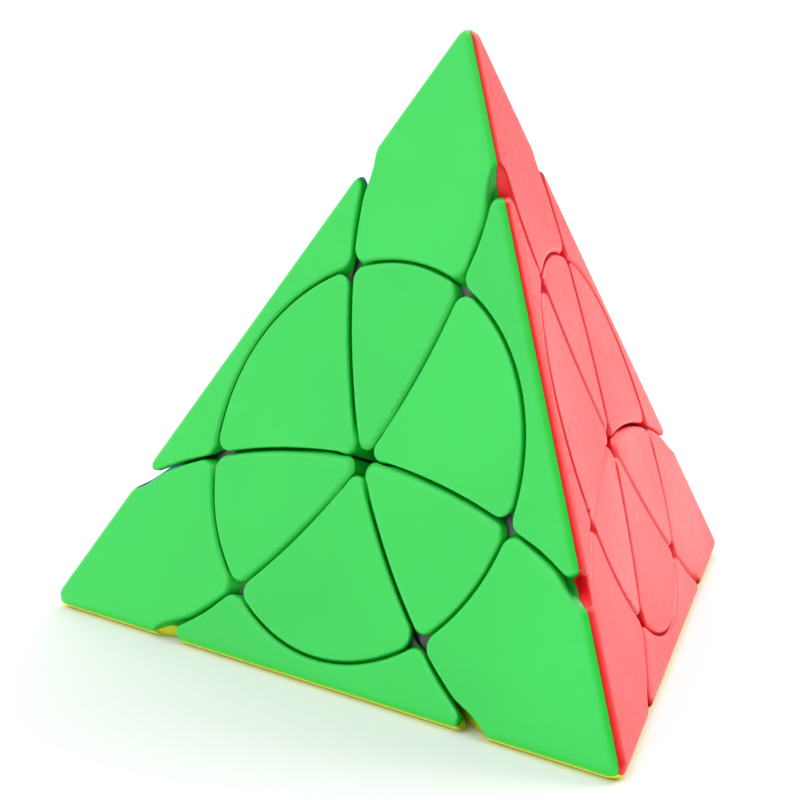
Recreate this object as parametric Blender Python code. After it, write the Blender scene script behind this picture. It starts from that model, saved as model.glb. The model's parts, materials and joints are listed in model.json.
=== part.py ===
"""Pyramid twisty puzzle: a tetrahedron that turns about its four corner axes.

Each face carries a turning disc of six petals. Four corner pieces and six
edge pieces surround the discs. A ball core inside carries one screw and one
spring on each corner axis. The origin is the centre of the core, +Z points
through the top corner, and the green face looks towards -Y.
"""

import math

import bmesh
import bpy
import numpy as np
from mathutils import Matrix, Vector
from mathutils.geometry import delaunay_2d_cdt

# ---------------------------------------------------------------- dimensions
FACE_DIST = 0.0200  # core centre to each flat face; the sharp edge length is 4.899 times this
EDGE_ROUND = 0.0015  # rounding along the six edges and at the four tips
GAP = 0.0004  # running gap between pieces that turn past each other
SEAM = 0.0003  # gap between the coloured shells of one corner or edge piece
DISC_TAN = 1.230  # disc radius on the face, divided by FACE_DIST
DOME_CENTRE = -4.173 * FACE_DIST  # centre of the dome cut, on the corner axis
DOME_RADIUS = 4.604 * FACE_DIST  # radius of the dome cut between the layers
BALL_SEAT = 0.0150  # inner surface of every outer piece
CORE_RADIUS = 0.0140  # ball core
WELL_RADIUS = 0.0052  # sockets in the core that take the corner stems
WELL_FLOOR = 0.0084
STEM_RADIUS = 0.0046
STEM_END = 0.0090
STEM_TOP = 0.0168
BORE_RADIUS = 0.0029  # holds the spring and the screw head
BORE_FLOOR = 0.0104
BORE_TOP = 0.0225
PASS_RADIUS = 0.0016  # clears the screw shank
SHANK_RADIUS = 0.0012
SHANK_END = 0.0036
PILOT_RADIUS = 0.0016
PILOT_END = 0.0030
HEAD_RADIUS = 0.0025
HEAD_BOTTOM = 0.0172
HEAD_TOP = 0.0190
SPRING_WIRE = 0.0003
SPRING_RADIUS = 0.0021
SPRING_BOTTOM = 0.0110
SPRING_TOP = 0.0166
SPRING_TURNS = 5

# ------------------------------------------------------------------- scene
for old in list(bpy.data.objects):
    bpy.data.objects.remove(old, do_unlink=True)

# --------------------------------------------------------- directions, tables
ROOT8 = math.sqrt(8.0)
CORNERS = {
    "top": np.array([0.0, 0.0, 3.0]) / 3,
    "left": np.array([-ROOT8 * math.cos(math.pi / 6), -ROOT8 / 2, -1.0]) / 3,
    "right": np.array([ROOT8 * math.cos(math.pi / 6), -ROOT8 / 2, -1.0]) / 3,
    "back": np.array([0.0, ROOT8, -1.0]) / 3,
}
FACES = {  # colour: (corners of the face, the corner opposite it)
    "green": (("top", "left", "right"), "back"),
    "red": (("top", "right", "back"), "left"),
    "blue": (("top", "back", "left"), "right"),
    "yellow": (("left", "back", "right"), "top"),
}
COLOURS = {
    "green": (0.085, 0.760, 0.155, 1.0),
    "red": (0.900, 0.105, 0.100, 1.0),
    "blue": (0.020, 0.190, 0.720, 1.0),
    "yellow": (0.850, 0.730, 0.030, 1.0),
}
EDGE_NAMES = {
    frozenset(("top", "left")): "top_left",
    frozenset(("top", "right")): "top_right",
    frozenset(("top", "back")): "top_back",
    frozenset(("left", "right")): "front",
    frozenset(("left", "back")): "left_back",
    frozenset(("right", "back")): "right_back",
}

# The master pieces are made on the green face, pointing up to the top corner.
AX_A, AX_B, AX_C, AX_D = (CORNERS[k] for k in ("top", "left", "right", "back"))
NORMAL = -AX_D  # of the green face
NORMAL_L, NORMAL_R, NORMAL_BASE = -AX_C, -AX_B, -AX_A
UP = AX_A - (AX_A @ NORMAL) * NORMAL
UP = UP / np.linalg.norm(UP)
RIGHT = np.cross(UP, NORMAL)


def unit(v):
    return v / np.linalg.norm(v)


# ------------------------------------------------------------- cut surfaces
def grip(axis):
    """Layer cut about a corner axis: positive inside the corner's layer."""
    slope = math.acos(1.0 / 3.0)

    def value(p):
        h = p @ axis
        r = np.linalg.norm(p - h * axis)
        dome = np.linalg.norm(p - DOME_CENTRE * axis) - DOME_RADIUS
        cone = h * math.sin(slope) - r * math.cos(slope)
        return max(dome, cone)

    return value


def disc(p):
    """Disc cut: positive inside the cone about the face's normal."""
    h = p @ NORMAL
    r = np.linalg.norm(p - h * NORMAL)
    half = math.atan(DISC_TAN)
    return h * math.sin(half) - r * math.cos(half)


GRIP_A, GRIP_B, GRIP_C = grip(AX_A), grip(AX_B), grip(AX_C)


def inside(cut):
    return lambda p: cut(p) - GAP / 2


def outside(cut):
    return lambda p: cut(p) + GAP / 2


def mitre(other):
    m = unit(other - NORMAL)
    return lambda p: p @ m + SEAM / 2


INSET = 1.0 - EDGE_ROUND / FACE_DIST
TRI = [3 * FACE_DIST * INSET * a for a in (AX_A, AX_B, AX_C)]


def skin(p):
    """Distance outside the rounded face: zero on the outer surface."""
    q = p - ((p - TRI[0]) @ NORMAL) * NORMAL
    best, out = None, False
    for i in range(3):
        a, b = TRI[i], TRI[(i + 1) % 3]
        side = np.cross(NORMAL, b - a)
        if (q - a) @ side < 0:
            out = True
        t = min(1.0, max(0.0, (q - a) @ (b - a) / ((b - a) @ (b - a))))
        c = a + t * (b - a)
        if best is None or np.linalg.norm(p - c) < np.linalg.norm(p - best):
            best = c
    if not out:
        best = q
    return np.linalg.norm(p - best) - EDGE_ROUND


def solve(functions, start):
    """Newton's method for the point where three functions are zero."""
    p = np.array(start, float)
    for _ in range(40):
        f = np.array([g(p) for g in functions])
        if np.abs(f).max() < 1e-10:
            break
        step = 1e-7
        jac = np.empty((3, 3))
        for i in range(3):
            e = np.zeros(3)
            e[i] = step
            jac[:, i] = [(g(p + e) - g(p - e)) / (2 * step) for g in functions]
        d = np.linalg.lstsq(jac, -f, rcond=None)[0]
        size = np.linalg.norm(d)
        p = p + d * min(1.0, 0.002 / size if size > 0 else 1.0)
    return p


def flat(x, y):
    """Point on the face plane from its two coordinates, as parts of FACE_DIST."""
    return FACE_DIST * (NORMAL + x * RIGHT + y * UP)


# ------------------------------------------------------------------- tiles
def tile(sides, corners, fractions, upper):
    """Rings of points, from the outer surface down to the ball seat.

    sides[i] is the wall function from corner i to corner i + 1. The last ring
    but one follows the ridge where dome and cone meet, FACE_DIST from the
    centre, and there are upper bands of equal depth above it.
    """
    n = len(sides)
    last = upper + 1

    def radius(top, k):
        """Distance from the centre of ring k, under a point of the top ring."""
        ridge = min(FACE_DIST, top - 0.12 * (top - BALL_SEAT))
        if k <= upper:
            return top + (ridge - top) * k / upper
        return ridge + (BALL_SEAT - ridge) * (k - upper)

    ends = [solve((sides[i - 1], sides[i], skin), corners[i]) for i in range(n)]
    top_ends = [np.linalg.norm(p) for p in ends]
    rings = []
    for k in range(last + 1):
        steps = 6 if k else 0
        for step in range(steps):
            at = k - 1 + (step + 1) / steps
            ends = [
                solve(
                    (
                        sides[i - 1],
                        sides[i],
                        lambda p, r=radius(top_ends[i], at): np.linalg.norm(p) - r,
                    ),
                    ends[i],
                )
                for i in range(n)
            ]
        ring = []
        for i in range(n):
            a, b = ends[i], ends[(i + 1) % n]
            span = (b - a) @ (b - a)
            ring.append(a)
            for s in fractions[i]:
                here = (
                    lambda p, a=a, b=b, s=s, span=span: ((p - a) @ (b - a) - s * span)
                    / math.sqrt(span)
                )
                if k == 0:
                    level = skin
                    guess = a + s * (b - a)
                    guess = guess * (
                        1 + 0.5 * (FACE_DIST - guess @ NORMAL) / FACE_DIST
                    )
                else:
                    r = radius(np.linalg.norm(rings[0][len(ring)]), k)
                    level = lambda p, r=r: np.linalg.norm(p) - r
                    guess = unit(a + s * (b - a)) * r
                ring.append(solve((sides[i], level, here), guess))
        rings.append(ring)
    return rings


def fill(loop, plane, extra):
    """Triangles inside a loop, through extra points, as seen on a plane."""
    points = [plane(p) for p in loop] + [plane(p) for p in extra]
    n = len(loop)
    _, _, faces, origin, _, _ = delaunay_2d_cdt(
        [Vector(p) for p in points],
        [(i, (i + 1) % n) for i in range(n)],
        [list(range(n))],
        1,
        1e-9,
    )
    return [[origin[v][0] for v in f] for f in faces]


def inside_points(loop, plane, spacing, margin, lift, rows=None):
    """A grid of points inside the loop and clear of it, lifted to a surface."""
    flat_loop = np.array([plane(p) for p in loop])
    low, high = flat_loop.min(0), flat_loop.max(0)
    found = []
    candidates = list(rows or [])
    if spacing:
        count_x = int((high[0] - low[0]) / spacing) + 1
        count_y = int((high[1] - low[1]) / (spacing * 0.87)) + 1
        for j in range(-count_y, count_y + 1):
            for i in range(-count_x, count_x + 1):
                mid = (low + high) / 2
                candidates.append(
                    (
                        mid[0] + (i + 0.5 * (j % 2)) * spacing,
                        mid[1] + j * spacing * 0.87,
                    )
                )
    for x, y in candidates:
        a, b = flat_loop, np.roll(flat_loop, -1, axis=0)
        crosses = ((a[:, 1] > y) != (b[:, 1] > y)) & (
            x < (b[:, 0] - a[:, 0]) * (y - a[:, 1]) / (b[:, 1] - a[:, 1] + 1e-18) + a[:, 0]
        )
        if crosses.sum() % 2 == 0:
            continue
        ab = b - a
        t = np.clip(
            ((x - a[:, 0]) * ab[:, 0] + (y - a[:, 1]) * ab[:, 1])
            / (ab * ab).sum(1),
            0,
            1,
        )
        gap = np.hypot(a[:, 0] + t * ab[:, 0] - x, a[:, 1] + t * ab[:, 1] - y).min()
        if gap > margin:
            found.append(lift(x, y))
    return found


def mesh_of(rings, name, top_rows=None):
    """A closed mesh from the rings, with its outer and inner caps filled."""

    def face_plane(p):
        return (p @ RIGHT, p @ UP)

    def face_lift(x, y):
        q = TRI[0] - (TRI[0] @ NORMAL) * NORMAL
        base = (TRI[0] @ NORMAL) * NORMAL + x * RIGHT + y * UP
        low, high = 0.0, 2 * EDGE_ROUND
        for _ in range(50):
            mid = (low + high) / 2
            if skin(base + mid * NORMAL) > 0:
                high = mid
            else:
                low = mid
        return base + low * NORMAL

    bottom = rings[-1]
    middle = unit(sum(unit(p) for p in bottom))
    side = unit(np.cross(middle, RIGHT if abs(middle @ RIGHT) < 0.9 else UP))
    other = np.cross(middle, side)

    def ball_plane(p):
        # Equal-spread view of the ball from its middle, so arms keep their width.
        d = unit(p)
        s = math.sqrt(2 / (1 + d @ middle))
        return (d @ side * s, d @ other * s)

    def ball_lift(x, y):
        rr = x * x + y * y
        s = math.sqrt(1 - rr / 4)
        return BALL_SEAT * (x * s * side + y * s * other + (1 - rr / 2) * middle)

    top_extra = inside_points(rings[0], face_plane, 0, 0.0004, face_lift, top_rows)
    bottom_extra = inside_points(bottom, ball_plane, 0.33, 0.10, ball_lift)
    points, faces = [], []
    for ring in rings:
        points.extend(ring)
    n = len(bottom)
    for k in range(len(rings) - 1):
        for i in range(n):
            j = (i + 1) % n
            faces.append([k * n + i, k * n + j, (k + 1) * n + j, (k + 1) * n + i])
    start = len(points)
    points.extend(top_extra)
    for f in fill(rings[0], face_plane, top_extra):
        faces.append([v if v < n else start + v - n for v in f])
    start = len(points)
    points.extend(bottom_extra)
    offset = (len(rings) - 1) * n
    for f in fill(bottom, ball_plane, bottom_extra):
        faces.append([offset + v if v < n else start + v - n for v in f])
    mesh = bpy.data.meshes.new(name)
    mesh.from_pydata([tuple(p) for p in points], [], faces)
    bm = bmesh.new()
    bm.from_mesh(mesh)
    bmesh.ops.triangulate(bm, faces=bm.faces[:], quad_method="SHORT_EDGE")
    bmesh.ops.recalc_face_normals(bm, faces=bm.faces[:])
    if bm.calc_volume(signed=True) < 0:
        bmesh.ops.reverse_faces(bm, faces=bm.faces[:])
    bm.to_mesh(mesh)
    bm.free()
    return mesh


def even(count):
    return [i / count for i in range(1, count)]


CROSS = math.radians(21.0)  # where a layer cut meets the disc cut, from the corner's line


def on_circle(angle):
    """Angle is measured from the line to the top corner, positive to the right."""
    return flat(DISC_TAN * math.sin(angle), DISC_TAN * math.cos(angle))


THIRD = math.radians(120)
RIM = 0.94 * math.sqrt(2)  # in face units: just inside the straight edge


def edge_point(along, a, b):
    """Point near the rounded edge between corners a and b, 0 at a and 1 at b."""
    p = 3 * FACE_DIST * ((1 - along) * a + along * b)
    return p * 0.97


# Where the dome cut of one corner reaches an edge of that corner, from its far end.
CUT_END = 0.19

narrow_rings = tile(
    [outside(GRIP_B), inside(disc), outside(GRIP_C)],
    [flat(0.0, 0.03), on_circle(-CROSS), on_circle(CROSS)],
    [even(5), even(6), even(5)],
    2,
)
# A piece outside a cut has a negative value there, and one inside it a positive one.
wide_rings = tile(
    [inside(GRIP_B), inside(disc), inside(GRIP_C)],
    [flat(0.0, -0.03), on_circle(THIRD + CROSS), on_circle(THIRD * 2 - CROSS)],
    [even(5), even(9), even(5)],
    2,
)
corner_rings = tile(
    [outside(GRIP_B), mitre(NORMAL_L), mitre(NORMAL_R), outside(GRIP_C), outside(disc)],
    [
        on_circle(-CROSS),
        edge_point(CUT_END, AX_A, AX_B),
        3 * FACE_DIST * AX_A * 0.97,
        edge_point(CUT_END, AX_A, AX_C),
        on_circle(CROSS),
    ],
    [
        [0.45, 0.75, 0.87, 0.95],
        [0.5, 0.9, 0.97],
        [0.03, 0.1, 0.5],
        [0.05, 0.13, 0.25, 0.55],
        even(6),
    ],
    3,
)
edge_rings = tile(
    [inside(GRIP_B), outside(disc), inside(GRIP_C), mitre(NORMAL_BASE)],
    [
        edge_point(1 - CUT_END, AX_B, AX_C),
        on_circle(THIRD + CROSS),
        on_circle(THIRD * 2 - CROSS),
        edge_point(CUT_END, AX_B, AX_C),
    ],
    [
        [0.12, 0.3, 0.6],
        even(9),
        [0.4, 0.7, 0.88],
        even(6),
    ],
    3,
)

# Rows of points that follow the rounding beside each straight edge.
ROUND_REACH = EDGE_ROUND / math.tan(math.radians(35.264))
STRAIGHT = math.sqrt(2) * FACE_DIST


def round_rows(which, spacing, reach):
    rows = []
    count = int(reach / spacing)
    for turn in (0.0, 25.0, 42.0):
        inset = ROUND_REACH - EDGE_ROUND * math.sin(math.radians(turn)) + 0.0
        off = STRAIGHT - inset
        for i in range(-count, count + 1):
            x, y = i * spacing, -off
            c, s = math.cos(which), math.sin(which)
            rows.append((c * x - s * y, s * x + c * y))
    return rows


corner_rows = round_rows(THIRD, 0.004, 0.045) + round_rows(-THIRD, 0.004, 0.045)
edge_rows = round_rows(0.0, 0.006, 0.045)

narrow_mesh = mesh_of(narrow_rings, "petal_narrow")
wide_mesh = mesh_of(wide_rings, "petal_wide")
edge_mesh = mesh_of(edge_rings, "edge_shell", edge_rows)
corner_plain = mesh_of(corner_rings, "corner_plain", corner_rows)


# ----------------------------------------------------- turned and joined parts
def turned(name, profile, steps):
    """A solid of revolution about +Z from (radius, height) points."""
    mesh = bpy.data.meshes.new(name)
    bm = bmesh.new()
    rows = []
    for r, h in profile:
        if r == 0:
            rows.append([bm.verts.new((0, 0, h))])
        else:
            rows.append(
                [
                    bm.verts.new(
                        (
                            r * math.cos(2 * math.pi * (i + 0.5) / steps),
                            r * math.sin(2 * math.pi * (i + 0.5) / steps),
                            h,
                        )
                    )
                    for i in range(steps)
                ]
            )
    for a, b in zip(rows, rows[1:]):
        for i in range(steps):
            j = (i + 1) % steps
            if len(a) == 1:
                bm.faces.new((a[0], b[j], b[i]))
            elif len(b) == 1:
                bm.faces.new((a[i], a[j], b[0]))
            else:
                bm.faces.new((a[i], a[j], b[j], b[i]))
    bmesh.ops.recalc_face_normals(bm, faces=bm.faces[:])
    if bm.calc_volume(signed=True) < 0:
        bmesh.ops.reverse_faces(bm, faces=bm.faces[:])
    bm.to_mesh(mesh)
    bm.free()
    return mesh


def helper(name, mesh):
    obj = bpy.data.objects.new(name, mesh)
    bpy.context.scene.collection.objects.link(obj)
    obj.hide_render = True
    obj.display_type = "WIRE"
    return obj


def boolean(mesh, name, steps):
    """Applies a chain of (operation, cutter object) to a mesh."""
    obj = helper(name + "_work", mesh)
    for operation, cutter in steps:
        mod = obj.modifiers.new(operation, "BOOLEAN")
        mod.operation = operation
        mod.solver = "EXACT"
        mod.object = cutter
    bpy.context.view_layer.update()
    graph = bpy.context.evaluated_depsgraph_get()
    result = bpy.data.meshes.new_from_object(obj.evaluated_get(graph))
    result.name = name
    bpy.data.objects.remove(obj, do_unlink=True)
    bm = bmesh.new()
    bm.from_mesh(result)
    bmesh.ops.remove_doubles(bm, verts=bm.verts[:], dist=2e-6)
    bmesh.ops.triangulate(bm, faces=bm.faces[:])
    bm.to_mesh(result)
    bm.free()
    return result


def stem_third():
    """A third of the corner's stem: a sector of a cylinder between the mitres."""
    bm = bmesh.new()
    m_left, m_right = unit(NORMAL_L - NORMAL), unit(NORMAL_R - NORMAL)
    clear = SEAM / 2 + 0.00003
    toward = unit(NORMAL - (NORMAL @ AX_A) * AX_A)
    across = np.cross(AX_A, toward)
    tip = toward * clear / math.sin(math.radians(60))
    outline = [tip]
    half = math.radians(60) - clear / STEM_RADIUS
    for i in range(9):
        a = -half + 2 * half * i / 8
        outline.append(STEM_RADIUS * (math.cos(a) * toward + math.sin(a) * across))
    low = [bm.verts.new(tuple(p + STEM_END * AX_A)) for p in outline]
    high = [bm.verts.new(tuple(p + STEM_TOP * AX_A)) for p in outline]
    bm.faces.new(low)
    bm.faces.new(high)
    for i in range(len(low)):
        j = (i + 1) % len(low)
        bm.faces.new((low[i], low[j], high[j], high[i]))
    bmesh.ops.recalc_face_normals(bm, faces=bm.faces[:])
    if bm.calc_volume(signed=True) < 0:
        bmesh.ops.reverse_faces(bm, faces=bm.faces[:])
    mesh = bpy.data.meshes.new("stem_third")
    bm.to_mesh(mesh)
    bm.free()
    return mesh


bore = helper(
    "bore_cutter",
    turned(
        "bore_cutter",
        [
            (0, STEM_END - 0.002),
            (PASS_RADIUS, STEM_END - 0.002),
            (PASS_RADIUS, BORE_FLOOR),
            (BORE_RADIUS, BORE_FLOOR),
            (BORE_RADIUS, BORE_TOP),
            (0, BORE_TOP + 0.0015),
        ],
        18,
    ),
)
stem = helper("stem_cutter", stem_third())
corner_mesh = boolean(corner_plain, "corner_shell", [("UNION", stem), ("DIFFERENCE", bore)])
for old in (bore, stem):
    bpy.data.objects.remove(old, do_unlink=True)


# --------------------------------------------------------------- materials
def plastic(name, colour, roughness, metallic=0.0):
    mat = bpy.data.materials.new(name)
    mat.use_nodes = True
    bsdf = mat.node_tree.nodes["Principled BSDF"]
    bsdf.inputs["Base Color"].default_value = colour
    bsdf.inputs["Roughness"].default_value = roughness
    bsdf.inputs["Metallic"].default_value = metallic
    return mat


MATERIALS = {k: plastic(k + "_plastic", v, 0.45) for k, v in COLOURS.items()}
GREY = plastic("grey_inner_plastic", (0.18, 0.18, 0.19, 1.0), 0.5)
STEEL = plastic("bright_steel", (0.62, 0.62, 0.64, 1.0), 0.3, 1.0)

# --------------------------------------------------------------- assembly
BODY_NAMES = (
    "lower_body",
    "top_layer",
    "green_disc_lower",
    "green_disc_upper",
    "red_disc_lower",
    "red_disc_upper",
    "blue_disc_lower",
    "blue_disc_upper",
    "yellow_disc",
)
HOLDERS = {}
for body in BODY_NAMES:
    holder = bpy.data.objects.new("holder_" + body, None)
    bpy.context.scene.collection.objects.link(holder)
    HOLDERS[body] = holder
for body in BODY_NAMES[1:]:
    above = "top_layer" if body.endswith("_upper") else "lower_body"
    HOLDERS[body].parent = HOLDERS[above]


def turn_to(colour, corner):
    """Rotation that carries the green face to a colour and the top to a corner."""
    ring, opposite = FACES[colour]
    at = ring.index(corner)
    targets = [CORNERS[ring[(at + i) % 3]] for i in range(3)]
    source = np.array([AX_A, AX_B, AX_C]).T
    target = np.array(targets).T
    matrix = target @ np.linalg.inv(source)
    rows = [list(map(float, row)) for row in matrix]
    return Matrix(rows).to_4x4()


def place(name, mesh, material, body, matrix):
    obj = bpy.data.objects.new(name, mesh)
    bpy.context.scene.collection.objects.link(obj)
    obj.parent = HOLDERS[body]
    if not mesh.materials:
        mesh.materials.append(material)
    obj.material_slots[0].link = "OBJECT"
    obj.material_slots[0].material = material
    obj.matrix_world = matrix
    return obj


for colour, (ring, opposite) in FACES.items():
    for corner in ring:
        matrix = turn_to(colour, corner)
        others = [c for c in ring if c != corner]
        edge = EDGE_NAMES[frozenset(others)]
        upper = corner == "top"
        has_top = "top" in others
        material = MATERIALS[colour]
        place(
            f"corner_{corner}_{colour}",
            corner_mesh,
            material,
            "top_layer" if upper else "lower_body",
            matrix,
        )
        place(
            f"edge_{edge}_{colour}",
            edge_mesh,
            material,
            "top_layer" if has_top else "lower_body",
            matrix,
        )
        if colour == "yellow":
            near_body = far_body = "yellow_disc"
        else:
            near_body = f"{colour}_disc_" + ("upper" if upper else "lower")
            far_body = f"{colour}_disc_" + ("upper" if has_top else "lower")
        place(f"petal_{colour}_corner_{corner}", narrow_mesh, material, near_body, matrix)
        place(f"petal_{colour}_edge_{edge}", wide_mesh, material, far_body, matrix)

# The core is a ball with a socket and a pilot hole on each corner axis.
ball = bpy.data.meshes.new("ball")
bm = bmesh.new()
bmesh.ops.create_icosphere(bm, subdivisions=3, radius=CORE_RADIUS)
bmesh.ops.rotate(bm, verts=bm.verts[:], matrix=Matrix.Rotation(0.31, 3, "X") @ Matrix.Rotation(0.17, 3, "Y"))
bm.to_mesh(ball)
bm.free()
wells = []
well_mesh = turned(
    "well_cutter",
    [
        (0, PILOT_END),
        (PILOT_RADIUS, PILOT_END),
        (PILOT_RADIUS, WELL_FLOOR),
        (WELL_RADIUS, WELL_FLOOR),
        (WELL_RADIUS, CORE_RADIUS * 1.2),
        (0, CORE_RADIUS * 1.2),
    ],
    20,
)
screw_mesh = turned(
    "screw",
    [
        (0, SHANK_END),
        (SHANK_RADIUS * 0.4, SHANK_END),
        (SHANK_RADIUS, SHANK_END + 0.001),
        (SHANK_RADIUS, HEAD_BOTTOM),
        (HEAD_RADIUS, HEAD_BOTTOM),
        (HEAD_RADIUS, HEAD_TOP - 0.0005),
        (HEAD_RADIUS * 0.7, HEAD_TOP),
        (HEAD_RADIUS * 0.35, HEAD_TOP),
        (0, HEAD_TOP - 0.0008),
    ],
    14,
)


def helix():
    """One sprung coil of round wire, with closed ends."""
    curve = bpy.data.curves.new("coil", "CURVE")
    curve.dimensions = "3D"
    curve.bevel_depth = SPRING_WIRE
    curve.bevel_resolution = 1
    curve.use_fill_caps = True
    spline = curve.splines.new("POLY")
    count = SPRING_TURNS * 10
    spline.points.add(count)
    for i in range(count + 1):
        a = 2 * math.pi * i / 10
        h = SPRING_BOTTOM + SPRING_WIRE + (SPRING_TOP - SPRING_BOTTOM - 2 * SPRING_WIRE) * i / count
        spline.points[i].co = (SPRING_RADIUS * math.cos(a), SPRING_RADIUS * math.sin(a), h, 1)
    obj = bpy.data.objects.new("coil", curve)
    bpy.context.scene.collection.objects.link(obj)
    bpy.context.view_layer.update()
    graph = bpy.context.evaluated_depsgraph_get()
    mesh = bpy.data.meshes.new_from_object(obj.evaluated_get(graph))
    mesh.name = "spring"
    bpy.data.objects.remove(obj, do_unlink=True)
    bm = bmesh.new()
    bm.from_mesh(mesh)
    bmesh.ops.remove_doubles(bm, verts=bm.verts[:], dist=1e-7)
    bmesh.ops.recalc_face_normals(bm, faces=bm.faces[:])
    if bm.calc_volume(signed=True) < 0:
        bmesh.ops.reverse_faces(bm, faces=bm.faces[:])
    bm.to_mesh(mesh)
    bm.free()
    return mesh


spring_mesh = helix()
for corner, axis in CORNERS.items():
    tilt = Vector((0, 0, 1)).rotation_difference(Vector(tuple(axis))).to_matrix().to_4x4()
    well = helper("well_" + corner, well_mesh)
    well.matrix_world = tilt
    wells.append(well)
    place("screw_" + corner, screw_mesh, STEEL, "lower_body", tilt)
    place("spring_" + corner, spring_mesh, STEEL, "lower_body", tilt)
core_mesh = boolean(ball, "core_ball", [("DIFFERENCE", w) for w in wells])
for old in wells:
    bpy.data.objects.remove(old, do_unlink=True)
place("core_ball", core_mesh, GREY, "lower_body", Matrix.Identity(4))
bpy.context.view_layer.update()
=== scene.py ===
import json
import math

import bpy
import numpy as np
from mathutils import Matrix, Vector
from mathutils.geometry import delaunay_2d_cdt

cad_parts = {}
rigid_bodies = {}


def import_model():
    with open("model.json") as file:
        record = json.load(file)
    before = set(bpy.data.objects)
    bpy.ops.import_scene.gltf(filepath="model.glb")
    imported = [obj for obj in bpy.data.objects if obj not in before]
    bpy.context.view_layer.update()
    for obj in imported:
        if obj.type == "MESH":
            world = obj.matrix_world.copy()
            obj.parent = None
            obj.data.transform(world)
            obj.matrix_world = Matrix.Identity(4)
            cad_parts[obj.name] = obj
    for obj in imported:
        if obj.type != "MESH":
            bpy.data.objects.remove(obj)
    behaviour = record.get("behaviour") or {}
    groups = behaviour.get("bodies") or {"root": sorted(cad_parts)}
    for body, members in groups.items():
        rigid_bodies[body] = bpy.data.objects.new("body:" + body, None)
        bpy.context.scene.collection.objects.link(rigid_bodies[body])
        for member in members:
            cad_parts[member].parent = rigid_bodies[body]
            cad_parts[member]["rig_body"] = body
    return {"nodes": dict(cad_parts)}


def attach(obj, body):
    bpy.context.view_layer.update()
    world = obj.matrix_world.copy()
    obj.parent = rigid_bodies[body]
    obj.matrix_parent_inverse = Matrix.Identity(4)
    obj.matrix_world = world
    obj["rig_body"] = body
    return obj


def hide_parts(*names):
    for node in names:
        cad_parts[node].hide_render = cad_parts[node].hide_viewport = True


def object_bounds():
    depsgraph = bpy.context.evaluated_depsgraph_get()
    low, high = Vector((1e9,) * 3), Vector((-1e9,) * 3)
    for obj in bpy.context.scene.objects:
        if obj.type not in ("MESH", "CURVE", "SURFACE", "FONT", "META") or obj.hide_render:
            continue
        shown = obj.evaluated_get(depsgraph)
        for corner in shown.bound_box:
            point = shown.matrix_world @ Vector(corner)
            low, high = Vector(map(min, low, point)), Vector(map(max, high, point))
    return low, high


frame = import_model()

CAD_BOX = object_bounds()

# ------------------------------------------------------------------ design
# The same cut surfaces as the CAD model, in metres. Each coloured piece is made
# again here as one moulded shell, with rounded plan corners and a soft fillet
# along its outer edge, and stands for its CAD node.
FACE_DIST = 0.0200
EDGE_ROUND = 0.0015
GAP = 0.00024  # between two shells, a little less than between the CAD solids
DISC_TAN = 1.230
DOME_CENTRE = -4.173 * FACE_DIST
DOME_RADIUS = 4.604 * FACE_DIST
BALL_SEAT = 0.0150
STEM_RADIUS = 0.0046
STEM_END = 0.0090
BORE_RADIUS = 0.0029
BORE_FLOOR = 0.0104
BORE_TOP = 0.0225
PASS_RADIUS = 0.0016

SEAM_HALF = 0.00003  # the two colours of one corner or edge piece almost touch
FILLET_DISC = 0.00050  # along the disc cuts
FILLET_PETAL = 0.00070  # between petals
FILLET_CUT = 0.00080  # along the layer cuts of the corner pieces
FILLET_LONG = 0.00085  # along the layer cuts of the edge pieces
FILLET_NOTCH = 0.00055  # edge pieces, where a cut runs over a straight edge
FILLET_KNEE = 0.00026  # corner pieces, at the same place
KNEE_INSET = 0.00100  # how far a corner piece's wall stands back there
TIP_OUT = 0.00010  # how far an edge piece's wall stands out behind its tip
TIP_ROUND = 0.00115  # how much of the tip's thin end is rounded away
TIP_REACH = 0.0019
TIP_DEPTH = 0.0013  # below this the tip has its full length again
CENTRE_ROUND = 0.00150  # plan radius of the petals' tips at the middle of a face
RING_ROUND = 0.00190  # plan radius where a layer cut crosses the disc cut
FILLET_STEPS = 8
HALF_TURN = math.radians(54.736)  # half of the turn over a straight edge
# The cuts slope by 1.23 (discs) and 0.607 (layers) across the plan for each step
# down. Near the skin the shells' walls stand nearly upright instead, and step back
# to the cut at a ledge: an open wall is set in by these slopes, an overhanging wall
# is filled out by them.
STEEP_DISC, FULL_DISC = 0.85, -1.00
STEEP_GRIP, FULL_GRIP = 0.48, -0.28
STEEP_PETAL, FULL_PETAL = 0.36, -0.18  # petals hardly overhang each other

ROOT8 = math.sqrt(8.0)
CORNERS = {
    "top": np.array([0.0, 0.0, 3.0]) / 3,
    "left": np.array([-ROOT8 * math.cos(math.pi / 6), -ROOT8 / 2, -1.0]) / 3,
    "right": np.array([ROOT8 * math.cos(math.pi / 6), -ROOT8 / 2, -1.0]) / 3,
    "back": np.array([0.0, ROOT8, -1.0]) / 3,
}
FACES = {
    "green": (("top", "left", "right"), "back"),
    "red": (("top", "right", "back"), "left"),
    "blue": (("top", "back", "left"), "right"),
    "yellow": (("left", "back", "right"), "top"),
}
EDGE_NAMES = {
    frozenset(("top", "left")): "top_left",
    frozenset(("top", "right")): "top_right",
    frozenset(("top", "back")): "top_back",
    frozenset(("left", "right")): "front",
    frozenset(("left", "back")): "left_back",
    frozenset(("right", "back")): "right_back",
}
AX_A, AX_B, AX_C, AX_D = (CORNERS[k] for k in ("top", "left", "right", "back"))
NORMAL = -AX_D
NORMAL_L, NORMAL_R, NORMAL_BASE = -AX_C, -AX_B, -AX_A


def unit(v):
    return v / np.linalg.norm(v)


UP = unit(AX_A - (AX_A @ NORMAL) * NORMAL)
RIGHT = np.cross(UP, NORMAL)


# ------------------------------------------- surfaces, for many points at once
def length(p):
    return np.sqrt((p * p).sum(-1))


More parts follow.
